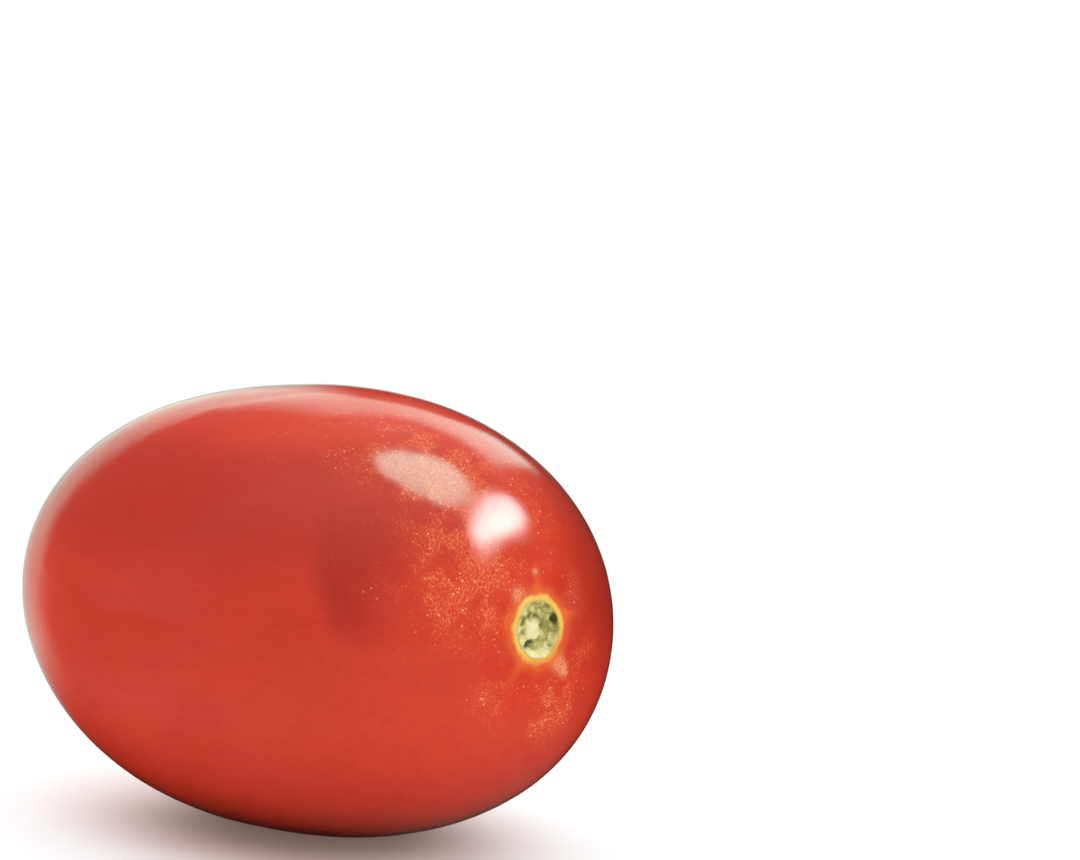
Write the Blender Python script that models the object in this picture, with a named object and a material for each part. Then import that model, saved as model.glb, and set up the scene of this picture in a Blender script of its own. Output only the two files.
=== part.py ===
"""A ripe plum tomato lying on its side, as picked: one solid fruit with the scar that its stem left.

Metres, +Z up. The stem end points along +X, and the fruit rests on a small flat spot at the origin.
The fruit's own skin is laid out on rings round its own axis, from the stem scar to the blossom tip.
"""

import math

import bmesh
import bpy
from mathutils import Matrix, Vector

MM = 0.001

# The whole fruit
LENGTH = 75.4 * MM
GIRTH = 52.0 * MM
STEM_FULLNESS = 2.44
BLOSSOM_FULLNESS = 2.12
EGG_TAPER = 0.07
STEM_END_RAISED = math.radians(6)

# How far each end bends off the straight axis, sideways and up
STEM_END_BEND = (2.6 * MM, -0.4 * MM)
TIP_END_BEND = (-1.7 * MM, 3.9 * MM)

# The soft flats and corners that the seed chambers give its cross-section
OVAL_SHARE = 0.018
OVAL_TURN = math.radians(130)
CHAMBERS = 3
CHAMBER_SHARE = 0.021
CHAMBER_TURN = math.radians(84)

# The hollow at the stem, and the ribs that run into it
BASIN_DEPTH = 1.0 * MM
BASIN_REACH = 8.0 * MM
RIBS = 5
RIB_HEIGHT = 0.14 * MM
RIB_AT = 7.0 * MM
RIB_SPREAD = 3.5 * MM

# The corky scar: a sunken disc with a groove inside its lip and a knob in the middle
SCAR_RADIUS = 3.3 * MM
SCAR_SUNK = 0.55 * MM
LIP_HEIGHT = 0.16 * MM
LIP_WIDTH = 0.38 * MM
GROOVE_RADIUS = 2.75 * MM
GROOVE_DEPTH = 0.22 * MM
GROOVE_WIDTH = 0.25 * MM
KNOB_HEIGHT = 0.5 * MM
KNOB_RADIUS = 0.75 * MM
MOAT_RADIUS = 1.35 * MM
MOAT_DEPTH = 0.2 * MM
MOAT_WIDTH = 0.3 * MM

# The small point that the flower left
TIP_HEIGHT = 0.9 * MM
TIP_RADIUS = 4.0 * MM

FLAT_SPOT_DEPTH = 0.4 * MM

SEGMENTS = 60
BODY_RINGS = 28
SCAR_RINGS = [0.35, 0.7, 1.0, 1.35, 1.7, 2.1, 2.5, 2.75, 3.0, 3.2, 3.4, 3.65, 3.95, 4.4, 5.1, 6.1, 7.5, 9.2]
TIP_RINGS = [6.0, 4.2, 2.8, 1.5]


def mound(distance, width):
    """A soft round rise of height 1 at distance 0."""
    return math.exp(-((distance / width) ** 2))


def step_down(distance, edge, width):
    """1 inside the edge and 0 outside it, with a smooth wall of that width."""
    share = min(1.0, max(0.0, (distance - edge + width) / width))
    return 1.0 - share * share * (3.0 - 2.0 * share)


def meridian(polar):
    """Distance along the fruit's axis from its middle, and distance from the axis, before any relief."""
    stem_share = (1 + math.cos(polar)) / 2
    fullness = STEM_FULLNESS * stem_share + BLOSSOM_FULLNESS * (1 - stem_share)
    reach = (abs(math.cos(polar)) ** fullness + abs(math.sin(polar)) ** fullness) ** (-1 / fullness)
    along = LENGTH / 2 * reach * math.cos(polar)
    out = GIRTH / 2 * reach * math.sin(polar) * (1 + EGG_TAPER * math.cos(polar))
    return along, out


def stem_relief(out, around):
    """How far the skin stands up, along the axis, at this distance from the stem."""
    height = -BASIN_DEPTH * mound(out, BASIN_REACH)
    height += RIB_HEIGHT * mound(out - RIB_AT, RIB_SPREAD) * math.cos(RIBS * around)
    height -= SCAR_SUNK * step_down(out, SCAR_RADIUS, LIP_WIDTH)
    height += LIP_HEIGHT * mound(out - SCAR_RADIUS - LIP_WIDTH, LIP_WIDTH)
    height -= GROOVE_DEPTH * mound(out - GROOVE_RADIUS, GROOVE_WIDTH)
    height -= MOAT_DEPTH * mound(out - MOAT_RADIUS, MOAT_WIDTH)
    height += KNOB_HEIGHT * mound(out, KNOB_RADIUS)
    return height


def skin_point(polar, around):
    """A point of the skin: polar runs from 0 at the stem to pi at the tip, around goes once round the axis."""
    along, out = meridian(polar)
    if along > 0:
        along += stem_relief(out, around)
    else:
        along -= TIP_HEIGHT * mound(out, TIP_RADIUS)
    chambers = OVAL_SHARE * math.cos(2 * (around - OVAL_TURN))
    chambers += CHAMBER_SHARE * math.cos(CHAMBERS * (around - CHAMBER_TURN))
    spread = out * (1 + chambers * math.sin(polar) ** 2)
    sideways, upwards = STEM_END_BEND if along > 0 else TIP_END_BEND
    bent = (along / (LENGTH / 2)) ** 2
    across = spread * math.cos(around) + sideways * bent
    up = spread * math.sin(around) + upwards * bent
    return Vector((along, across, up))


def ring_angles():
    """Polar angles of the rings: close together over the scar, even along the body, closer again at the tip."""
    stem_radius = GIRTH / 2 * (1 + EGG_TAPER)
    tip_radius = GIRTH / 2 * (1 - EGG_TAPER)
    scar = [math.asin(radius * MM / stem_radius) for radius in SCAR_RINGS]
    tip = [math.pi - math.asin(radius * MM / tip_radius) for radius in TIP_RINGS]
    gap = (tip[0] - scar[-1]) / (BODY_RINGS + 1)
    body = [scar[-1] + gap * (number + 1) for number in range(BODY_RINGS)]
    return scar + body + tip


def skin_shell():
    """The closed skin: rings of points, joined by quads and closed by a fan at each pole."""
    shell = bmesh.new()
    rings = []
    for polar in ring_angles():
        turns = [2 * math.pi * number / SEGMENTS for number in range(SEGMENTS)]
        rings.append([shell.verts.new(skin_point(polar, around)) for around in turns])
    stem_pole = shell.verts.new(skin_point(0.0, 0.0))
    tip_pole = shell.verts.new(skin_point(math.pi, 0.0))
    for number in range(SEGMENTS):
        following = (number + 1) % SEGMENTS
        shell.faces.new((stem_pole, rings[0][number], rings[0][following]))
        shell.faces.new((tip_pole, rings[-1][following], rings[-1][number]))
        for ring, further in zip(rings, rings[1:]):
            shell.faces.new((ring[number], further[number], further[following], ring[following]))
    bmesh.ops.recalc_face_normals(shell, faces=shell.faces)
    return shell


def rest_on_flat_spot(shell):
    """Tilts the fruit to the angle it lies at, presses its underside flat and sets it on the origin."""
    tilt = Matrix.Rotation(-STEM_END_RAISED, 3, "Y")
    bmesh.ops.rotate(shell, cent=(0, 0, 0), matrix=tilt, verts=shell.verts)
    floor = min(vert.co.z for vert in shell.verts) + FLAT_SPOT_DEPTH
    cut = bmesh.ops.bisect_plane(
        shell,
        geom=shell.verts[:] + shell.edges[:] + shell.faces[:],
        plane_co=(0, 0, floor),
        plane_no=(0, 0, -1),
        clear_outer=True,
    )
    rim = [edge for edge in cut["geom_cut"] if isinstance(edge, bmesh.types.BMEdge)]
    bmesh.ops.contextual_create(shell, geom=rim)
    bmesh.ops.recalc_face_normals(shell, faces=shell.faces)
    low = Vector([min(vert.co[axis] for vert in shell.verts) for axis in range(3)])
    high = Vector([max(vert.co[axis] for vert in shell.verts) for axis in range(3)])
    middle = (low + high) / 2
    bmesh.ops.translate(shell, vec=(-middle.x, -middle.y, -low.z), verts=shell.verts)


def ripe_skin():
    """Ripe red skin with a waxy shine."""
    material = bpy.data.materials.new("ripe_skin")
    material.use_nodes = True
    shader = material.node_tree.nodes["Principled BSDF"]
    shader.inputs["Base Color"].default_value = (0.56, 0.035, 0.018, 1)
    shader.inputs["Roughness"].default_value = 0.28
    shader.inputs["Metallic"].default_value = 0.0
    return material


def tomato():
    """The fruit as one object."""
    shell = skin_shell()
    rest_on_flat_spot(shell)
    mesh = bpy.data.meshes.new("tomato")
    shell.to_mesh(mesh)
    shell.free()
    mesh.materials.append(ripe_skin())
    mesh.shade_smooth()
    mesh.set_sharp_from_angle(angle=math.radians(50))
    fruit = bpy.data.objects.new("tomato", mesh)
    bpy.context.scene.collection.objects.link(fruit)
    return fruit


for leftover in list(bpy.data.objects):
    bpy.data.objects.remove(leftover)
tomato()
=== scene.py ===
import math

import bpy
import numpy as np
from mathutils import Matrix, Vector


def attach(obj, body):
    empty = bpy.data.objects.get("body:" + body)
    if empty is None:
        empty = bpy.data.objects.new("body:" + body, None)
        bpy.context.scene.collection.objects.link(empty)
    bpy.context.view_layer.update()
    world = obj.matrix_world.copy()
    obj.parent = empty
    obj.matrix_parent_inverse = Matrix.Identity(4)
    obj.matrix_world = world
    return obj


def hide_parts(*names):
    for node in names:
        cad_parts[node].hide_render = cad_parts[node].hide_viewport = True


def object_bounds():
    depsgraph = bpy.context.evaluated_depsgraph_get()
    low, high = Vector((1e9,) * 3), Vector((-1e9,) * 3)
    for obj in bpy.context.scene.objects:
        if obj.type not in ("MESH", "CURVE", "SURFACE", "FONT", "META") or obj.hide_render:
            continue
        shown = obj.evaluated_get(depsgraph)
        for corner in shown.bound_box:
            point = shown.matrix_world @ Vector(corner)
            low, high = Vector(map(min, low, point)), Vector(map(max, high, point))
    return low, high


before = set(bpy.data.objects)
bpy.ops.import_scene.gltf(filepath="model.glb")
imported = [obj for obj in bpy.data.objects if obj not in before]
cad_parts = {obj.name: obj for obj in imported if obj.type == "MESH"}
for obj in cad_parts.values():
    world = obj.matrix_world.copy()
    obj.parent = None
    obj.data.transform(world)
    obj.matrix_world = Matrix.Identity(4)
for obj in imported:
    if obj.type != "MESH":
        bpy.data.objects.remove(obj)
solid_low, solid_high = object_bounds()

# The fruit's body
# A plum tomato grows as one berry: egg-shaped, fuller at the stem end, a little bent, with soft flats
# where its seed chambers lie. Its rings run round the axis from the stem scar to the blossom tip, and
# lie closer together at both ends.
MM = 0.001

body_sizes = {
    "Length": 75.4 * MM,
    "Girth": 52.0 * MM,
    "Stem fullness": 2.44,
    "Blossom fullness": 2.12,
    "Egg taper": 0.07,
    "Stem end sideways": 2.6 * MM,
    "Stem end up": -0.4 * MM,
    "Tip end sideways": -1.7 * MM,
    "Tip end up": 3.9 * MM,
    "Stem end raised": math.radians(6),
    "Oval share": 0.018,
    "Oval turn": math.radians(130),
    "Chamber share": 0.021,
    "Chamber turn": math.radians(84),
    "Basin depth": 1.0 * MM,
    "Basin reach": 8.0 * MM,
    "Rib height": 0.14 * MM,
    "Rib place": 7.0 * MM,
    "Rib spread": 3.5 * MM,
    "Swell height": 0.16 * MM,
    "Swell size": 17 * MM,
    "Ripple height": 0.022 * MM,
    "Ripple size": 3.2 * MM,
}
CHAMBERS = 3
RIBS = 5
SEGMENTS = 288
RINGS = 300
RING_CROWDING = 0.72
FLAT_SPOT_DEPTH = 0.4 * MM


class Field:
    """A number that changes over a surface. Sums with it become nodes, so a tree reads as its formula."""

    def __init__(self, tree, socket):
        self.tree = tree
        self.socket = socket

    def math(self, operation, *others, swapped=False):
        node = self.tree.nodes.new("ShaderNodeMath")
        node.operation = operation
        values = (self,) + others
        if swapped:
            values = values[::-1]
        for value, slot in zip(values, node.inputs):
            if isinstance(value, Field):
                self.tree.links.new(value.socket, slot)
            else:
                slot.default_value = value
        return Field(self.tree, node.outputs[0])

    def __add__(self, other):
        return self.math("ADD", other)

    def __sub__(self, other):
        return self.math("SUBTRACT", other)

    def __rsub__(self, other):
        return self.math("SUBTRACT", other, swapped=True)

    def __mul__(self, other):
        return self.math("MULTIPLY", other)

    def __truediv__(self, other):
        return self.math("DIVIDE", other)

    def __rtruediv__(self, other):
        return self.math("DIVIDE", other, swapped=True)

    def __pow__(self, other):
        return self.math("POWER", other)

    def __abs__(self):
        return self.math("ABSOLUTE")

    __radd__ = __add__
    __rmul__ = __mul__

    def cos(self):
        return self.math("COSINE")

    def sin(self):
        return self.math("SINE")

    def limited(self):
        """The field kept between 0 and 1."""
        return self.math("MAXIMUM", 0.0).math("MINIMUM", 1.0)

    def mound(self, width):
        """A soft round rise: 1 where the field is 0, and almost 0 past twice the width."""
        share = self / width
        return (share * share * -1).math("EXPONENT")

    def rise(self, low, high):
        """Goes smoothly from 0 at low to 1 at high, or from 1 to 0 where high is the lower one."""
        node = self.tree.nodes.new("ShaderNodeMapRange")
        node.interpolation_type = "SMOOTHSTEP"
        self.tree.links.new(self.socket, node.inputs["Value"])
        falling = high < low
        node.inputs["From Min"].default_value = min(low, high)
        node.inputs["From Max"].default_value = max(low, high)
        node.inputs["To Min"].default_value = 1.0 if falling else 0.0
        node.inputs["To Max"].default_value = 0.0 if falling else 1.0
        return Field(self.tree, node.outputs["Result"])


def parts_of(tree, vector):
    """The X, Y and Z fields of a vector socket."""
    node = tree.nodes.new("ShaderNodeSeparateXYZ")
    tree.links.new(vector, node.inputs[0])
    return [Field(tree, socket) for socket in node.outputs]


def vector_of(tree, *fields):
    """A vector socket made of three fields or numbers."""
    node = tree.nodes.new("ShaderNodeCombineXYZ")
    for field, slot in zip(fields, node.inputs):
        if isinstance(field, Field):
            tree.links.new(field.socket, slot)
        else:
            slot.default_value = field
    return node.outputs[0]


def length_of(first, second):
    """How far from the middle two crossed fields are."""
    return (first * first + second * second).math("SQRT")


def noise_field(tree, vector, size, detail=2.0, roughness=0.5, seed=0.0):
    """Noise of about 0 to 1, with lumps of that size in metres. The seed says which part of it is read."""
    shift = tree.nodes.new("ShaderNodeVectorMath")
    tree.links.new(vector, shift.inputs[0])
    shift.inputs[1].default_value = (seed * 11 * MM, seed * 7 * MM, seed * -5 * MM)
    node = tree.nodes.new("ShaderNodeTexNoise")
    tree.links.new(shift.outputs[0], node.inputs["Vector"])
    if isinstance(size, Field):
        tree.links.new((1 / size).socket, node.inputs["Scale"])
    else:
        node.inputs["Scale"].default_value = 1 / size
    node.inputs["Detail"].default_value = detail
    node.inputs["Roughness"].default_value = roughness
    return Field(tree, node.outputs[0])


def even_rings(tree):
    """The polar angle on the fruit of each point of a unit ball's grid, and its angle round the axis."""
    position = tree.nodes.new("GeometryNodeInputPosition")
    x, y, z = parts_of(tree, position.outputs[0])
    share = z.math("ARCCOSINE") / math.pi
    crowded = share - (share * (2 * math.pi)).sin() * (RING_CROWDING / (2 * math.pi))
    return crowded * math.pi, y.math("ARCTAN2", x)


def egg(polar, size):
    """Distance along the axis from the fruit's middle, and distance from the axis, before any relief."""
    cosine, sine = polar.cos(), polar.sin()
    stem_share = (cosine + 1) / 2
    fullness = size["Stem fullness"] * stem_share + size["Blossom fullness"] * (1 - stem_share)
    reach = (abs(cosine) ** fullness + abs(sine) ** fullness) ** (-1 / fullness)
    along = size["Length"] / 2 * reach * cosine
    out = size["Girth"] / 2 * reach * abs(sine) * (size["Egg taper"] * cosine + 1)
    return along, out


def shoulder_relief(out, around, size):
    """The hollow at the stem and the ribs that run into it, as a height along the axis."""
    basin = out.mound(size["Basin reach"]) * size["Basin depth"]
    ribs = (out - size["Rib place"]).mound(size["Rib spread"]) * (around * RIBS).cos() * size["Rib height"]
    return ribs - basin


def chamber_swell(around, polar, size):
    """How much wider the fruit is than its egg over its seed chambers, as a share of 1."""
    oval = ((around - size["Oval turn"]) * 2).cos() * size["Oval share"]
    lobes = ((around - size["Chamber turn"]) * CHAMBERS).cos() * size["Chamber share"]
    sine = polar.sin()
    return (oval + lobes) * sine * sine + 1


def bend(along, across, up, size):
    """Bends both ends off the straight axis, then raises the stem end, as the fruit lies."""
    share = along / (size["Length"] / 2)
    square = share * share
    stem = along.math("GREATER_THAN", 0.0)
    sideways = size["Stem end sideways"] * stem + size["Tip end sideways"] * (1 - stem)
    upwards = size["Stem end up"] * stem + size["Tip end up"] * (1 - stem)
    across = across + sideways * square
    up = up + upwards * square
    tilt = size["Stem end raised"]
    return along * tilt.cos() - up * tilt.sin(), across, along * tilt.sin() + up * tilt.cos()


# The stem scar
# Where the stalk broke off stays a sunken disc of pale green cork with a raised lip, a knob where the
# sap vessels ended, and a few pits, dark in themselves and darkened further by painted shade. It is dry
# and rough against the waxy skin.
scar_sizes = {
    "Scar radius": 3.1 * MM,
    "Scar sunk": 0.48 * MM,
    "Lip height": 0.16 * MM,
    "Lip width": 0.45 * MM,
    "Groove radius": 2.45 * MM,
    "Groove depth": 0.10 * MM,
    "Groove width": 0.28 * MM,
    "Knob height": 0.40 * MM,
    "Knob radius": 0.95 * MM,
    "Moat radius": 1.5 * MM,
    "Moat depth": 0.14 * MM,
    "Moat width": 0.35 * MM,
    "Cork lump height": 0.34 * MM,
    "Cork lump size": 0.85 * MM,
}
KNOB_PLACE = (-0.25 * MM, -0.05 * MM)
CORK_EDGE = 3.20 * MM
# The noise that pushes the cork's rings and pits about: how far it pushes them, and the size of its lumps
CORK_PUSH = 0.75 * MM
CORK_PUSH_SIZE = 1.3 * MM
# Each pit of the cork: sideways and up from the scar's middle, its radius and its depth, in millimetres
scar_pits = [
    (2.75, 1.55, 0.24, 0.14),
    (2.86, 1.15, 0.32, 0.27),
    (2.88, 0.70, 0.34, 0.30),
    (2.90, 0.25, 0.24, 0.14),
    (2.60, -0.45, 0.22, 0.12),
    (-0.40, -1.45, 0.28, 0.18),
    (-0.95, -1.62, 0.42, 0.27),
    (-1.45, -1.80, 0.26, 0.14),
    (1.15, 0.40, 0.26, 0.18),
    (1.20, -0.10, 0.20, 0.12),
    (-0.30, 1.15, 0.26, 0.15),
    (0.35, 1.35, 0.24, 0.13),
    (1.95, -2.20, 0.26, 0.16),
    (0.35, -2.75, 0.22, 0.12),
    (-2.45, 0.60, 0.26, 0.12),
]
# Each ring of colour in the cork: its radius and its width. The knob ring runs round the knob
cork_rings = {
    "knob ring": (1.65 * MM, 0.36 * MM),
    "seam": (2.45 * MM, 0.22 * MM),
    "lip": (2.85 * MM, 0.38 * MM),
    "far lip": (3.02 * MM, 0.20 * MM),
    "crack": (3.12 * MM, 0.10 * MM),
}
cork_colours = {
    "pale": (0.66, 0.58, 0.21),
    "green": (0.27, 0.245, 0.042),
    "brown": (0.16, 0.110, 0.022),
    "cream": (0.84, 0.75, 0.40),
    "knob": (0.74, 0.68, 0.38),
    "dark": (0.058, 0.046, 0.010),
}


def warped_by_noise(tree, grown, across, up):
    """The cork grew unevenly, so its rings and pits follow places that noise has pushed about."""
    sideways = noise_field(tree, grown, CORK_PUSH_SIZE, detail=3.0, roughness=0.6, seed=11.0) - 0.5
    upwards = noise_field(tree, grown, CORK_PUSH_SIZE, detail=3.0, roughness=0.6, seed=23.0) - 0.5
    return across + sideways * CORK_PUSH, up + upwards * CORK_PUSH


def pit_depth(across, up):
    """How deep the cork is pitted at a place."""
    depth = None
    for sideways, upwards, radius, deep in scar_pits:
        far = length_of(across - sideways * MM, up - upwards * MM)
        pit = far.mound(radius * MM) * (deep * MM)
        depth = pit if depth is None else depth + pit
    return depth


def scar_relief(out, across, up, grown, size, tree):
    """The cork disc's height along the axis: sunk inside a lip, grooved, lumpy and pitted."""
    pushed = warped_by_noise(tree, grown, across, up)
    out = (length_of(*pushed) + out) / 2
    wall = size["Scar radius"] - size["Lip width"]
    lip_top = size["Scar radius"] + size["Lip width"]
    inside = 1 - ((out - wall) / size["Lip width"]).rise(0.0, 1.0)
    lumps = noise_field(tree, grown, size["Cork lump size"], detail=4.0, roughness=0.62, seed=7.0) - 0.5
    from_knob = length_of(pushed[0] - KNOB_PLACE[0], pushed[1] - KNOB_PLACE[1])
    height = inside * -1 * size["Scar sunk"]
    height = height + (out - lip_top).mound(size["Lip width"]) * size["Lip height"]
    height = height - (out - size["Groove radius"]).mound(size["Groove width"]) * size["Groove depth"]
    height = height - (from_knob - size["Moat radius"]).mound(size["Moat width"]) * size["Moat depth"]
    height = height + from_knob.mound(size["Knob radius"]) * size["Knob height"]
    height = height + inside * lumps * size["Cork lump height"]
    return height - pit_depth(*pushed) * inside


def new_material(name):
    """A material with its tree and its Principled shader."""
    material = bpy.data.materials.new(name)
    material.use_nodes = True
    return material, material.node_tree, material.node_tree.nodes["Principled BSDF"]


def grown_place(tree):
    """The place on the straight fruit that each point of the skin grew at, which patterns follow."""
    node = tree.nodes.new("ShaderNodeAttribute")
    node.attribute_name = "grown"
    return node.outputs["Vector"]


def mixed(tree, share, first, second):
    """A colour socket between two colours, which may be sockets or RGB values."""
    node = tree.nodes.new("ShaderNodeMix")
    node.data_type = "RGBA"
    tree.links.new(share.socket, node.inputs["Factor"])
    for colour, slot in ((first, node.inputs[6]), (second, node.inputs[7])):
        if isinstance(colour, tuple):
            slot.default_value = (*colour, 1.0)
        else:
            tree.links.new(colour, slot)
    return node.outputs[2]


def bumped(tree, height, shader):
    """Raises a shader's surface by a height in metres."""
    bump = tree.nodes.new("ShaderNodeBump")
    bump.inputs["Distance"].default_value = 1.0
    tree.links.new(height.socket, bump.inputs["Height"])
    tree.links.new(bump.outputs[0], shader.inputs["Normal"])


def group_of(name, input_types, output_name):
    """An empty shader node group with named inputs and one number output, and its start and end nodes."""
    group = bpy.data.node_groups.new(name, "ShaderNodeTree")
    for label, kind in input_types.items():
        group.interface.new_socket(name=label, in_out="INPUT", socket_type=kind)
    group.interface.new_socket(name=output_name, in_out="OUTPUT", socket_type="NodeSocketFloat")
    return group, group.nodes.new("NodeGroupInput"), group.nodes.new("NodeGroupOutput")


def speck_group():
    """Round specks strewn over a surface, each of its own size, as a mask from 0 to 1."""
    numbers = {name: "NodeSocketFloat" for name in ("Spacing", "Radius", "Share")}
    group, start, end = group_of("specks", {"Place": "NodeSocketVector", **numbers}, "Mask")
    spacing = Field(group, start.outputs["Spacing"])
    cells = group.nodes.new("ShaderNodeTexVoronoi")
    group.links.new(start.outputs["Place"], cells.inputs["Vector"])
    group.links.new((1 / spacing).socket, cells.inputs["Scale"])
    far = Field(group, cells.outputs["Distance"]) * spacing / Field(group, start.outputs["Radius"])
    chance = parts_of(group, cells.outputs["Color"])[0]
    chosen = (Field(group, start.outputs["Share"]) - chance).rise(0.0, 0.12)
    mask = far.rise(1.0, 0.45) * chosen
    group.links.new(mask.socket, end.inputs[0])
    return group


def grain_group():
    """Fine uneven grain of a dry or waxy surface, as a height in metres."""
    numbers = {name: "NodeSocketFloat" for name in ("Size", "Height")}
    group, start, end = group_of("grain", {"Place": "NodeSocketVector", **numbers}, "Relief")
    size = Field(group, start.outputs["Size"])
    coarse = noise_field(group, start.outputs["Place"], size, detail=2.0, roughness=0.55, seed=31.0)
    relief = (coarse - 0.5) * 2 * Field(group, start.outputs["Height"])
    group.links.new(relief.socket, end.inputs[0])
    return group


def placed_group(tree, group, place, **values):
    """The output field of a group placed in a tree, with its inputs set to numbers or fields."""
    node = tree.nodes.new("ShaderNodeGroup")
    node.node_tree = group
    tree.links.new(place, node.inputs["Place"])
    for name, value in values.items():
        slot = node.inputs[name.capitalize()]
        if isinstance(value, Field):
            tree.links.new(value.socket, slot)
        else:
            slot.default_value = value
    return Field(tree, node.outputs[0])


specks = speck_group()
grain = grain_group()


def cork_ring(name, out):
    """One of the cork's rings of colour, as a mask from 0 to 1."""
    radius, width = cork_rings[name]
    return (out - radius).mound(width)


def dry_cork():
    """Pale green cork: cream lip and knob, olive between, brown over the knob, pits dark with painted
    shade.
    """
    material, tree, shader = new_material("dry_cork")
    grown = grown_place(tree)
    across, up = parts_of(tree, grown)[1:]
    across, up = warped_by_noise(tree, grown, across, up)
    out = length_of(across, up)
    from_knob = length_of(across - KNOB_PLACE[0], up - KNOB_PLACE[1])
    clouds = noise_field(tree, grown, 1.05 * MM, detail=4.0, roughness=0.6, seed=4.0)
    crumbs = noise_field(tree, grown, 0.32 * MM, detail=3.0, roughness=0.6, seed=14.0)
    colour = mixed(tree, clouds.rise(0.38, 0.62), cork_colours["green"], cork_colours["pale"])
    knob_ring = cork_ring("knob ring", from_knob) * (up / (1.5 * MM)).rise(-1.2, 0.7)
    knob_ring = (knob_ring * 0.9 * clouds.rise(0.66, 0.40)).limited()
    colour = mixed(tree, knob_ring, colour, cork_colours["brown"])
    knob = from_knob.rise(1.40 * MM, 0.8 * MM)
    colour = mixed(tree, knob * 0.85, colour, cork_colours["knob"])
    lip_side = (across * 0.75 + up * 0.4).rise(2.4 * MM, -1.6 * MM)
    lip = cork_ring("lip", out) * (lip_side * 0.85 + 0.12)
    colour = mixed(tree, (lip * crumbs.rise(0.15, 0.45)).limited(), colour, cork_colours["cream"])
    seam = cork_ring("seam", out) * (across / (2.0 * MM)).rise(-0.1, 0.9) * crumbs.rise(0.62, 0.38)
    far_lip = cork_ring("far lip", out) * (across + up * 0.8).rise(0.4 * MM, 2.6 * MM) * 0.75
    # Painted shade: the pits are coloured darker the deeper they are, their own dark cork with shade
    # painted in.
    pit_dark_and_shade = (pit_depth(across, up) / (0.24 * MM) + (crumbs - 0.5) * 0.5).rise(0.2, 1.1)
    colour = mixed(tree, crumbs.rise(0.58, 0.74) * 0.30, colour, cork_colours["brown"])
    colour = mixed(tree, far_lip * crumbs.rise(0.65, 0.42), colour, cork_colours["brown"])
    crack = cork_ring("crack", out) * (across * -1).rise(2.0 * MM, 3.0 * MM)
    colour = mixed(tree, (pit_dark_and_shade + crack * 0.6 + seam * 0.5).limited(), colour, cork_colours["dark"])
    tree.links.new(colour, shader.inputs["Base Color"])
    shader.inputs["Roughness"].default_value = 0.6
    shader.inputs["IOR"].default_value = 1.28
    relief = placed_group(tree, grain, grown, size=0.22 * MM, height=0.03 * MM)
    bumped(tree, relief, shader)
    return material


# The blossom point
# At the other end the flower fell off and left a small blunt point with a dry brown dot.
point_sizes = {
    "Point height": 0.9 * MM,
    "Point radius": 4.0 * MM,
    "Dot radius": 0.55 * MM,
    "Dot height": 0.14 * MM,
}
point_colours = {
    "paler skin": (0.66, 0.095, 0.022),
    "tan ring": (0.50, 0.27, 0.10),
    "brown dot": (0.085, 0.040, 0.016),
}


def point_relief(out, size):
    """The blunt point's height along the axis, with the dry dot on it."""
    point = out.mound(size["Point radius"]) * size["Point height"]
    dot = out.mound(size["Dot radius"]) * size["Dot height"]
    return point + dot


def blossom_colours(tree, grown, colour, along, out):
    """The dry brown dot, a tan ring round it, and the paler skin of the point."""
    at_tip = along.math("LESS_THAN", 0.0)
    ragged = out + (noise_field(tree, grown, 0.7 * MM, detail=3.0, seed=41.0) - 0.5) * (0.6 * MM)
    point = ragged.rise(7.0 * MM, 0.8 * MM) * at_tip * 0.6
    ring = ragged.rise(1.5 * MM, 0.8 * MM) * at_tip * 0.8
    dot = ragged.rise(0.75 * MM, 0.45 * MM) * at_tip
    colour = mixed(tree, point, colour, point_colours["paler skin"])
    colour = mixed(tree, ring, colour, point_colours["tan ring"])
    return mixed(tree, dot, colour, point_colours["brown dot"])


# The ripe skin
# Thin waxy skin over red flesh. It is even red along the body, with painted light that makes it brighter on
# top and towards the blossom, and painted shade that darkens its upper flank, a belt by the stem end and
# the stem end's far side. Round the stem it has a yellow halo with five short rays, corky gold flecks and a
# few pale blotches.
skin_colours = {
    "red": (0.530, 0.0295, 0.0130),
    "bright red": (0.575, 0.0350, 0.0160),
    "deep red and painted shade": (0.400, 0.0220, 0.0110),
    "painted shade red": (0.340, 0.0225, 0.0120),
    "painted sunlit red": (0.600, 0.0360, 0.0160),
    "light red": (0.580, 0.0400, 0.0175),
    "warm red": (0.640, 0.0600, 0.0190),
    "orange": (0.700, 0.135, 0.024),
    "yellow": (0.740, 0.480, 0.085),
    "olive": (0.340, 0.300, 0.055),
    "beige": (0.720, 0.290, 0.145),
    "gold fleck": (0.800, 0.200, 0.070),
    "pale fleck": (0.860, 0.420, 0.200),
}
# Each patch of flecks: sideways and up from the stem and its spread, in millimetres, and how thick they lie
fleck_patches = [
    (-7.5, 5.0, 5.5, 0.80),
    (-12.5, 5.5, 6.0, 0.42),
    (-6.5, 12.0, 6.0, 0.62),
    (-6.5, 19.0, 6.0, 0.95),
    (1.0, 20.0, 5.0, 0.34),
    (3.5, 12.0, 4.5, 0.42),
    (3.2, -8.6, 3.2, 0.95),
    (-0.5, -10.8, 3.2, 0.60),
    (7.0, -3.5, 2.6, 0.45),
    (-7.0, -6.6, 2.9, 0.75),
    (5.4, 3.5, 2.6, 0.35),
]
# How far from the scar's middle the halo is full and where it ends, and where its rays start
HALO_FULL = 3.4 * MM
HALO_END = 5.7 * MM
RAY_START = 3.6 * MM
# Each ray of the halo: its direction from the scar in degrees, its reach and its width in millimetres, and
# its strength
halo_rays = [
    (85, 8.2, 0.55, 1.00),
    (12, 7.2, 0.60, 1.00),
    (157, 6.4, 0.60, 0.80),
    (-132, 9.0, 0.70, 0.85),
    (-60, 6.6, 0.80, 0.70),
]
# Each pale blotch: sideways and up from the stem, and its radius, in millimetres
pale_blotches = [
    (-2.5, 4.2, 0.90),
    (2.8, -4.2, 1.00),
    (3.6, -5.2, 0.70),
    (0.3, 6.6, 0.35),
]


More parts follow.
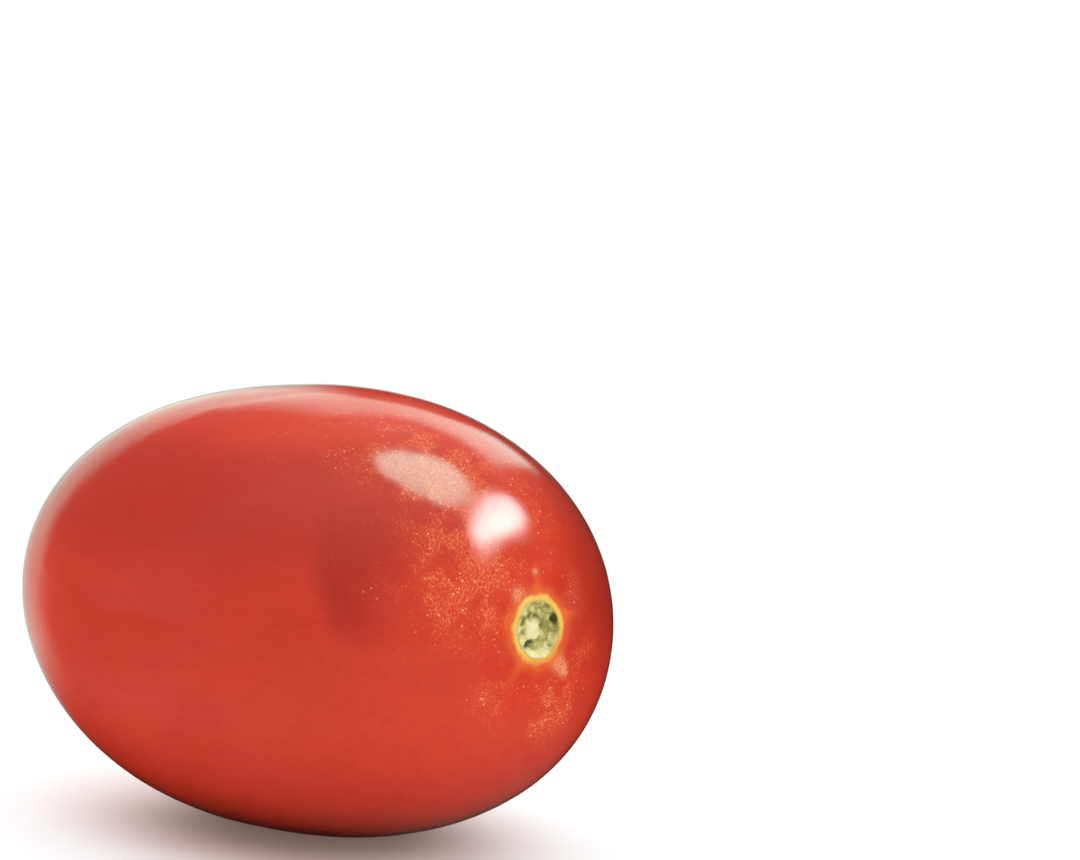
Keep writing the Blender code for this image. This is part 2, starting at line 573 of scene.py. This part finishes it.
def fleck_thickness(tree, grown, along, across, up, out):
    """How thick the gold flecks lie, from 0 to 1: in patches round the stem, hardly any along the body."""
    total = out.mound(15 * MM) * 0.16
    for sideways, upwards, spread, thick in fleck_patches:
        far = length_of(across - sideways * MM, up - upwards * MM)
        total = total + far.mound(spread * MM) * thick
    clumps = noise_field(tree, grown, 2.6 * MM, detail=2.0, seed=51.0).rise(0.34, 0.62)
    stem_half = along.rise(2 * MM, 16 * MM)
    return (total * (clumps * 0.9 + 0.35) * stem_half).limited()


def stem_halo(tree, grown, across, up, out):
    """The halo and its rays, as two masks from 0 to 1."""
    ragged = noise_field(tree, grown, 1.2 * MM, detail=4.0, roughness=0.6, seed=61.0) - 0.5
    halo = (out + ragged * (1.0 * MM)).rise(HALO_END, HALO_FULL)
    rays = None
    for direction, reach, width, strength in halo_rays:
        turn = math.radians(direction)
        beside = up * math.cos(turn) - across * math.sin(turn) + ragged * (1.8 * MM)
        outwards = across * math.cos(turn) + up * math.sin(turn)
        ray = beside.mound(width * MM) * outwards.rise(reach * MM, RAY_START)
        ray = ray * outwards.math("GREATER_THAN", 0.0) * strength
        rays = ray if rays is None else rays + ray
    return halo, rays.limited()


def blotch_mask(across, up, crust, at_stem):
    """The pale blotches near the scar, broken up by the crust, as a mask from 0 to 1."""
    blotches = None
    for sideways, upwards, radius in pale_blotches:
        far = length_of(across - sideways * MM, up - upwards * MM)
        blotch = far.mound(radius * MM)
        blotches = blotch if blotches is None else blotches + blotch
    return (blotches * 1.5 * crust.rise(0.30, 0.56) * at_stem).limited()


def body_reds(tree, grown, along, across, up):
    """The body's red: faint clouds, streaks and mottling, with zones of painted light and painted shade."""
    clouds = noise_field(tree, grown, 16 * MM, detail=3.0, seed=2.0)
    colour = mixed(tree, clouds.rise(0.35, 0.68), skin_colours["red"], skin_colours["bright red"])
    streak_place = vector_of(tree, along * 0.12, across, up)
    streaks = noise_field(tree, streak_place, 1.2 * MM, detail=3.0, seed=8.0)
    colour = mixed(tree, streaks.rise(0.4, 0.75) * 0.25, colour, skin_colours["deep red and painted shade"])
    mottle = noise_field(tree, grown, 0.5 * MM, detail=3.0, roughness=0.6, seed=9.0)
    colour = mixed(tree, mottle.rise(0.35, 0.75) * 0.5, colour, skin_colours["light red"])

    drift = (clouds - 0.5) * (4 * MM)
    high = up + drift
    # Painted shade: the upper flank is painted a deeper red, where less light falls on it.
    painted_flank_shade = high.rise(7 * MM, 14 * MM) * high.rise(23.5 * MM, 20 * MM) * across.rise(4 * MM, -6 * MM)
    # Painted light: the top and the blossom end are painted a brighter, sunlit red.
    colour = mixed(tree, high.rise(19 * MM, 23 * MM) * 0.7, colour, skin_colours["painted sunlit red"])
    colour = mixed(tree, (along + drift).rise(-11 * MM, -19 * MM) * 0.9, colour, skin_colours["painted sunlit red"])
    colour = mixed(tree, painted_flank_shade * 0.55, colour, skin_colours["deep red and painted shade"])
    # Painted shade: a belt near the stem end is painted a deeper red, as a shaded zone.
    painted_belt_shade = (along + up * 0.3 + drift).rise(26.4 * MM, 29.6 * MM) * along.rise(34.0 * MM, 28.5 * MM)
    painted_belt_shade = painted_belt_shade * up.rise(-1.5 * MM, 4.5 * MM) * up.rise(19 * MM, 11 * MM) * across.rise(-9 * MM, -15 * MM)
    colour = mixed(tree, painted_belt_shade, colour, skin_colours["deep red and painted shade"])
    # Painted shade: the stem end's far side is painted a darker red, as if shaded.
    painted_far_side_shade = across.rise(1 * MM, 13 * MM) * up.rise(-14 * MM, 2 * MM) * along.rise(6 * MM, 30 * MM)
    return mixed(tree, painted_far_side_shade, colour, skin_colours["painted shade red"])


def ripe_skin():
    """Waxy red skin with the stem end's halo, rays, flecks and blotches."""
    material, tree, shader = new_material("ripe_skin")
    grown = grown_place(tree)
    along, across, up = parts_of(tree, grown)
    out = length_of(across, up)
    at_stem = along.math("GREATER_THAN", 0.0)
    colour = body_reds(tree, grown, along, across, up)

    thick = fleck_thickness(tree, grown, along, across, up, out)
    ring_place = vector_of(tree, across * 0.7, up * 0.7, out - along)
    crust = noise_field(tree, ring_place, 0.25 * MM, detail=3.0, roughness=0.6, seed=53.0)
    flecks = (crust + thick * 0.16).rise(0.61, 0.80)
    sparse = along.rise(-25 * MM, 25 * MM) * 0.02 + 0.01
    share = thick * 0.42 + sparse
    spots = placed_group(tree, specks, grown, spacing=0.6 * MM, radius=0.16 * MM, share=share)
    spots = spots * crust.rise(0.30, 0.50)
    colour = mixed(tree, thick * 0.35, colour, skin_colours["warm red"])
    colour = mixed(tree, flecks * (thick * 0.55 + 0.16), colour, skin_colours["gold fleck"])
    colour = mixed(tree, spots * (thick * 0.6 + 0.20).limited(), colour, skin_colours["pale fleck"])

    blotches = blotch_mask(across, up, crust, at_stem)
    colour = mixed(tree, blotches * 0.85, colour, skin_colours["beige"])

    halo, rays = stem_halo(tree, grown, across, up, out)
    halo = halo * at_stem
    colour = mixed(tree, rays * at_stem * 0.75, colour, skin_colours["orange"])
    colour = mixed(tree, halo * 0.95, colour, skin_colours["orange"])
    below = (up * -1 + across * 0.3).rise(1.0 * MM, 3.5 * MM)
    colour = mixed(tree, halo.rise(0.72, 1.0) * (1 - below * 0.5), colour, skin_colours["yellow"])
    rim = out + (crust - 0.5) * (0.35 * MM)
    colour = mixed(tree, rim.rise(3.48 * MM, CORK_EDGE) * at_stem * 0.7, colour, skin_colours["olive"])
    colour = blossom_colours(tree, grown, colour, along, out)
    tree.links.new(colour, shader.inputs["Base Color"])

    patches = noise_field(tree, grown, 6 * MM, detail=3.0, seed=12.0)
    dull = (flecks + spots).limited() * 0.05 + halo * 0.15
    roughness = patches.rise(0.3, 0.7) * 0.03 + 0.06 + dull
    tree.links.new(roughness.socket, shader.inputs["Roughness"])
    shader.inputs["IOR"].default_value = 1.34

    near_stem = along.rise(12 * MM, 33 * MM)
    peel = placed_group(tree, grain, grown, size=1.1 * MM, height=0.0030 * MM)
    pores = (crust - 0.5) * near_stem * (0.014 * MM)
    bumped(tree, peel + pores, shader)
    return material


# The whole fruit
# Skin, cork and blossom point are one grown surface, so one tree makes it as one mesh. The tree keeps each
# point's place on the straight fruit, which the materials' patterns follow.
def fruit_tree(sizes, skin, cork):
    """Geometry Nodes that grow the whole fruit from its named sizes, with skin and cork set on it."""
    tree = bpy.data.node_groups.new("plum_tomato", "GeometryNodeTree")
    for name, value in sizes.items():
        socket = tree.interface.new_socket(name=name, in_out="INPUT", socket_type="NodeSocketFloat")
        socket.default_value = value
    tree.interface.new_socket(name="Fruit", in_out="OUTPUT", socket_type="NodeSocketGeometry")
    start = tree.nodes.new("NodeGroupInput")
    end = tree.nodes.new("NodeGroupOutput")
    size = {name: Field(tree, start.outputs[name]) for name in sizes}

    ball = tree.nodes.new("GeometryNodeMeshUVSphere")
    ball.inputs["Segments"].default_value = SEGMENTS
    ball.inputs["Rings"].default_value = RINGS
    polar, around = even_rings(tree)
    along, out = egg(polar, size)
    across, up = out * around.cos(), out * around.sin()
    grown = vector_of(tree, along, across, up)

    keep = tree.nodes.new("GeometryNodeStoreNamedAttribute")
    keep.data_type = "FLOAT_VECTOR"
    keep.inputs["Name"].default_value = "grown"
    tree.links.new(ball.outputs["Mesh"], keep.inputs["Geometry"])
    tree.links.new(grown, keep.inputs["Value"])

    at_stem = along.math("GREATER_THAN", 0.0)
    stem_height = shoulder_relief(out, around, size) + scar_relief(out, across, up, grown, size, tree)
    raised = along + stem_height * at_stem - point_relief(out, size) * (1 - at_stem)
    swell = noise_field(tree, grown, size["Swell size"], detail=1.0, seed=1.0) - 0.5
    ripple = noise_field(tree, grown, size["Ripple size"], detail=1.0, seed=5.0) - 0.5
    clear = out.rise(3.5 * MM, 9.0 * MM)
    waves = (swell * size["Swell height"] + ripple * size["Ripple height"]) * 2 * clear
    spread = out * chamber_swell(around, polar, size) + waves
    place = bend(raised, spread * around.cos(), spread * around.sin(), size)

    move = tree.nodes.new("GeometryNodeSetPosition")
    tree.links.new(keep.outputs["Geometry"], move.inputs["Geometry"])
    tree.links.new(vector_of(tree, *place), move.inputs["Position"])
    smooth = tree.nodes.new("GeometryNodeSetShadeSmooth")
    tree.links.new(move.outputs["Geometry"], smooth.inputs["Geometry"])
    real = tree.nodes.new("GeometryNodeRealizeInstances")
    tree.links.new(smooth.outputs["Geometry"], real.inputs["Geometry"])

    laid = tree.nodes.new("GeometryNodeInputNamedAttribute")
    laid.data_type = "FLOAT_VECTOR"
    laid.inputs["Name"].default_value = "grown"
    here_along, here_across, here_up = parts_of(tree, laid.outputs[0])
    on_stem_half = here_along.math("GREATER_THAN", 0.0)
    on_scar = length_of(here_across, here_up).math("LESS_THAN", CORK_EDGE) * on_stem_half
    skinned = tree.nodes.new("GeometryNodeSetMaterial")
    skinned.inputs["Material"].default_value = skin
    tree.links.new(real.outputs["Geometry"], skinned.inputs["Geometry"])
    corked = tree.nodes.new("GeometryNodeSetMaterial")
    corked.inputs["Material"].default_value = cork
    tree.links.new(skinned.outputs["Geometry"], corked.inputs["Geometry"])
    tree.links.new(on_scar.socket, corked.inputs["Selection"])
    tree.links.new(corked.outputs["Geometry"], end.inputs[0])
    return tree


def grow_fruit():
    """Runs the tree once and keeps its result as a plain mesh, where the solid lies, on its flat spot."""
    sizes = {**body_sizes, **scar_sizes, **point_sizes}
    tree = fruit_tree(sizes, ripe_skin(), dry_cork())
    carrier = bpy.data.objects.new("carrier", bpy.data.meshes.new("carrier"))
    bpy.context.scene.collection.objects.link(carrier)
    modifier = carrier.modifiers.new("growth", "NODES")
    modifier.node_group = tree
    for item in tree.interface.items_tree:
        if item.in_out == "INPUT":
            modifier[item.identifier] = sizes[item.name]
    depsgraph = bpy.context.evaluated_depsgraph_get()
    mesh = bpy.data.meshes.new_from_object(carrier.evaluated_get(depsgraph))
    carrier.modifiers.remove(modifier)
    bpy.data.objects.remove(carrier)
    mesh.name = "fruit"

    points = np.empty(len(mesh.vertices) * 3, np.float32)
    mesh.vertices.foreach_get("co", points)
    points = points.reshape(-1, 3)
    middle = (points.min(0) + points.max(0)) / 2
    points[:, 0] += (solid_low.x + solid_high.x) / 2 - middle[0]
    points[:, 1] += (solid_low.y + solid_high.y) / 2 - middle[1]
    height = points[:, 2] - points[:, 2].min() - FLAT_SPOT_DEPTH
    softness = 0.05 * MM
    clearance = 0.01 * MM
    points[:, 2] = np.logaddexp(0, height / softness) * softness + clearance
    mesh.vertices.foreach_set("co", points.ravel())
    mesh.update()
    fruit = bpy.data.objects.new("fruit", mesh)
    bpy.context.scene.collection.objects.link(fruit)
    return fruit


fruit = grow_fruit()
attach(fruit, "root")
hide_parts("tomato")

# The floor
# A plain pale sheet that fades to white further out, so that it meets the white room without a line. The
# fruit shades it underneath, and a glow on it paints red bounce light into that shade. To other rays than
# the camera's it is a glow of painted light: it lights the fruit's underside with a painted shadow near the
# fruit, and lies mirrored in its gloss as a painted reflection with painted shade under and behind the
# fruit.
FLOOR_RADIUS = 3.0
FADE_START, FADE_END = 0.05, 0.30
# How much longer than wide the fruit's shade is
SHADE_LENGTHENED = 1.45
FLOOR_COLOUR = (0.90, 0.95, 0.95)
# The pink of the red bounce light painted into the floor's shade next to the fruit
PAINTED_RED_BOUNCE = (1.0, 0.58, 0.48)
# The light that the floor throws up at the fruit: how bright it is, and how much brighter from which turn
BOUNCE = 1.46
BOUNCE_LEAN = 0.28
BOUNCE_TURN = -37
WHITE = (1.0, 1.0, 1.0)
# The colour of the floor and the room where the gloss shows them
GLOSS_TINT = (0.56, 1.0, 0.88)


def seen_from(turn, height):
    """A direction round the fruit: turn 0 is in front of it, at -Y, and 90 degrees is at its stem end."""
    turn, height = math.radians(turn), math.radians(height)
    return Vector((math.sin(turn) * math.cos(height), -math.cos(turn) * math.cos(height), math.sin(height)))


def blended(tree, share, first, second):
    """A shader between two shaders."""
    blend = tree.nodes.new("ShaderNodeMixShader")
    tree.links.new(share.socket, blend.inputs[0])
    tree.links.new(first, blend.inputs[1])
    tree.links.new(second, blend.inputs[2])
    return blend.outputs[0]


def painted_floor_reflection(x, y):
    """Painted floor reflection: painted shade under and behind the fruit, bright in front and far left."""
    far = length_of(x, y)
    uncovered = length_of((x + 0.010) / SHADE_LENGTHENED, y).rise(0.015, 0.050)
    sideways = x / far
    level = sideways.rise(-1.0, -0.4) * 0.36 + sideways.rise(-0.3, 0.4) * 0.27 + 0.20
    front = level * (y / far).rise(1.0, -0.1) * uncovered
    left_x, left_y = x + 0.020, y + 0.022
    reach = length_of(left_x, left_y)
    turn = left_y / reach
    left = turn.rise(-0.25, 0.14) * turn.rise(0.9, 0.65) * reach.rise(0.020, 0.085)
    left = left * left_x.rise(0.0, -0.02)
    return front + left * 0.78 + 0.01


def pale_floor():
    """A wide pale disc that the fruit lies on."""
    material, tree, shader = new_material("pale_floor")
    shader.inputs["Base Color"].default_value = (*FLOOR_COLOUR, 1)
    shader.inputs["Roughness"].default_value = 0.8
    shader.inputs["Specular IOR Level"].default_value = 0.2
    place = tree.nodes.new("ShaderNodeTexCoord").outputs["Object"]
    x, y = parts_of(tree, place)[:2]
    far = length_of(x, y)
    paths = tree.nodes.new("ShaderNodeLightPath")
    by_camera = Field(tree, paths.outputs["Is Camera Ray"])
    by_gloss = Field(tree, paths.outputs["Is Glossy Ray"])
    near = length_of(x / SHADE_LENGTHENED, y)
    # Painted light: near the fruit a pink glow paints red bounce light into the shade, further out a white
    # glow lifts it.
    painted_glow = tree.nodes.new("ShaderNodeEmission")
    painted_glow_colour = mixed(tree, near.rise(0.008, 0.028), PAINTED_RED_BOUNCE, WHITE)
    tree.links.new(painted_glow_colour, painted_glow.inputs["Color"])
    painted_glow_share = near.rise(0.009, 0.032) * 0.45 + far.rise(FADE_START, FADE_END) * 0.40 + 0.15
    seen = blended(tree, painted_glow_share, shader.outputs[0], painted_glow.outputs[0])

    # Painted light: to all rays but the camera's the floor glows, as bounce light with a painted shadow
    # near the fruit.
    aim = seen_from(BOUNCE_TURN, 0)
    towards = (x * aim.x + y * aim.y) / far
    painted_bounce = near.rise(0.008, 0.047) * (towards * BOUNCE_LEAN + BOUNCE)
    strength = painted_bounce * (1 - by_gloss) + painted_floor_reflection(x, y) * by_gloss
    glow = tree.nodes.new("ShaderNodeEmission")
    tree.links.new(mixed(tree, by_gloss, WHITE, GLOSS_TINT), glow.inputs["Color"])
    tree.links.new(strength.socket, glow.inputs["Strength"])
    surface = blended(tree, by_camera, glow.outputs[0], seen)
    tree.links.new(surface, tree.nodes["Material Output"].inputs["Surface"])
    turns = np.linspace(0, 2 * math.pi, 96, endpoint=False)
    ring = [(FLOOR_RADIUS * math.cos(turn), FLOOR_RADIUS * math.sin(turn), 0.0) for turn in turns]
    mesh = bpy.data.meshes.new("floor")
    mesh.from_pydata(ring, [], [list(range(len(ring)))])
    mesh.materials.append(material)
    floor = bpy.data.objects.new("floor", mesh)
    bpy.context.scene.collection.objects.link(floor)
    return floor


pale_floor()

# The soft room
# A white studio: soft light from all round, more of it from above, from the stem end's side and from the
# left, and less from in front and from behind at the right. The gloss mirrors a dimmer room with a
# bright wall behind.
EVEN_LIGHT = 0.75
LEAST_LIGHT = 0.02
# Each broad light of the room: its turn and height in degrees, its brightness, and how narrow it is
broad_lights = [
    (-142, 56, 1.80, 2.0),
    (89, 12, 1.65, 3.0),
    (-92, 18, 0.96, 3.0),
    (161, 0, -1.64, 3.0),
    (10, 33, -1.20, 3.0),
]


def soft_room():
    """The world: white for the camera, soft light for the matt colours and a dimmer room for the gloss."""
    world = bpy.data.worlds.new("soft_room")
    world.use_nodes = True
    tree = world.node_tree
    direction = tree.nodes.new("ShaderNodeTexCoord").outputs["Generated"]
    x, y, z = parts_of(tree, direction)
    matt = None
    for turn, height, bright, narrow in broad_lights:
        aim = seen_from(turn, height)
        facing = (x * aim.x + y * aim.y + z * aim.z).math("MAXIMUM", 0.0)
        light = facing ** narrow * bright
        matt = light + EVEN_LIGHT if matt is None else matt + light
    matt = matt.math("MAXIMUM", LEAST_LIGHT)

    # What the gloss shows, by its height above the floor and its turn away from straight behind, in degrees
    height = z.math("ARCSINE") * (180 / math.pi)
    off_back = x.math("ARCTAN2", y) * (180 / math.pi)
    sideways = x / length_of(x, y)
    front = sideways.rise(-1.0, -0.74) * 0.42 + height.rise(20, 80) * 0.9 + 0.20
    high_up = height / 45
    shade = high_up * high_up + 0.05
    behind = off_back.rise(-53, -47) * off_back.rise(38, 24) * height.rise(46, 38)
    low_wall = (off_back - height * 0.62).rise(-95, -82) * off_back.rise(-46, -52) * height.rise(23, 19)
    gloss = front * (1 - behind) + shade * behind + low_wall * 0.85
    foot = height + off_back.rise(-36, -30) * 10 + off_back.rise(-44, -52) * 5
    right_edge = (off_back - height * 0.77).rise(-31, -36)
    high_wall = off_back.rise(-66, -54) * right_edge * foot.rise(20, 28) * height.rise(48, 38)
    gloss = gloss + high_wall * (off_back.rise(-54, -10) * 2.5 + 1.45)

    paths = tree.nodes.new("ShaderNodeLightPath")
    by_camera = Field(tree, paths.outputs["Is Camera Ray"])
    by_gloss = Field(tree, paths.outputs["Is Glossy Ray"])
    strength = (matt * (1 - by_gloss) + gloss * by_gloss) * (1 - by_camera) + by_camera
    background = tree.nodes["Background"]
    tree.links.new(strength.socket, background.inputs["Strength"])
    tree.links.new(mixed(tree, by_gloss, WHITE, GLOSS_TINT), background.inputs["Color"])
    return world


bpy.context.scene.world = soft_room()

# The lamps
# Soft boxes that only the gloss shows: a long one over the stem end, and at the right a wide bright one
# with a dimmer one hung below it.
LAMP_DISTANCE = 0.9


def soft_box(name, turn, height, wide, tall, bright, colour, roll=0.0):
    """A round-edged soft box that faces the fruit. Its width and height are angles seen from the fruit."""
    lamp = bpy.data.lights.new(name, "AREA")
    lamp.shape = "ELLIPSE"
    lamp.size = 2 * LAMP_DISTANCE * math.tan(math.radians(wide / 2))
    lamp.size_y = 2 * LAMP_DISTANCE * math.tan(math.radians(tall / 2))
    lamp.energy = bright * (math.pi / 4 * lamp.size * lamp.size_y) * math.pi
    lamp.color = colour
    middle = Vector((0, 0, (solid_low.z + solid_high.z) / 2))
    away = seen_from(turn, height)
    box = bpy.data.objects.new(name, lamp)
    box.location = middle + away * LAMP_DISTANCE
    box.rotation_mode = "QUATERNION"
    rolled = Matrix.Rotation(math.radians(roll), 3, "Z").to_quaternion()
    box.rotation_quaternion = away.to_track_quat("Z", "Y") @ rolled
    box.visible_camera = False
    box.visible_diffuse = False
    bpy.context.scene.collection.objects.link(box)


soft_box("right_box", turn=130, height=37.5, wide=33, tall=22, bright=27.0, colour=(0.80, 1.0, 0.99))
soft_box("lower_right_box", turn=123, height=31, wide=25, tall=20, bright=9.0, colour=(0.75, 1.0, 0.94))
soft_box(
    "overhead_box", turn=138, height=74, wide=42, tall=26, bright=13.0, colour=(0.45, 1.0, 0.86), roll=60
)

bpy.context.scene.view_settings.view_transform = "Standard"

# The camera
# It stands where the photo was taken from, a little above the fruit and to the stem end's side.
PHOTO_WIDTH, PHOTO_HEIGHT = 1080, 860
CAMERA_TURN = 47.75
CAMERA_HEIGHT = 14.0
CAMERA_DISTANCE = 0.9
FOOT_PIXEL = (299.0, 822.8)
PIXELS_PER_METRE = 8559


def photo_camera():
    """A camera at the photo's angle, turned so that the point the fruit rests on falls on its pixel."""
    data = bpy.data.cameras.new("camera")
    focal = PIXELS_PER_METRE * CAMERA_DISTANCE
    data.sensor_width = 36
    data.lens = data.sensor_width * focal / PHOTO_WIDTH
    camera = bpy.data.objects.new("camera", data)
    bpy.context.scene.collection.objects.link(camera)
    camera.location = seen_from(CAMERA_TURN, CAMERA_HEIGHT) * CAMERA_DISTANCE
    right = (FOOT_PIXEL[0] - PHOTO_WIDTH / 2) / focal
    up = (PHOTO_HEIGHT / 2 - FOOT_PIXEL[1]) / focal
    seen = Vector((right, up, -1)).normalized()
    down = math.sin(math.radians(-CAMERA_HEIGHT))
    pitch = math.asin(down / math.hypot(seen.y, seen.z)) - math.atan2(seen.y, -seen.z)
    level = Matrix.Rotation(pitch, 3, "X") @ seen
    level = Matrix.Rotation(math.pi / 2, 3, "X") @ level
    aim = -camera.location
    yaw = math.atan2(aim.y, aim.x) - math.atan2(level.y, level.x)
    camera.rotation_euler = (math.pi / 2 + pitch, 0, yaw)
    return camera


bpy.context.scene.camera = photo_camera()
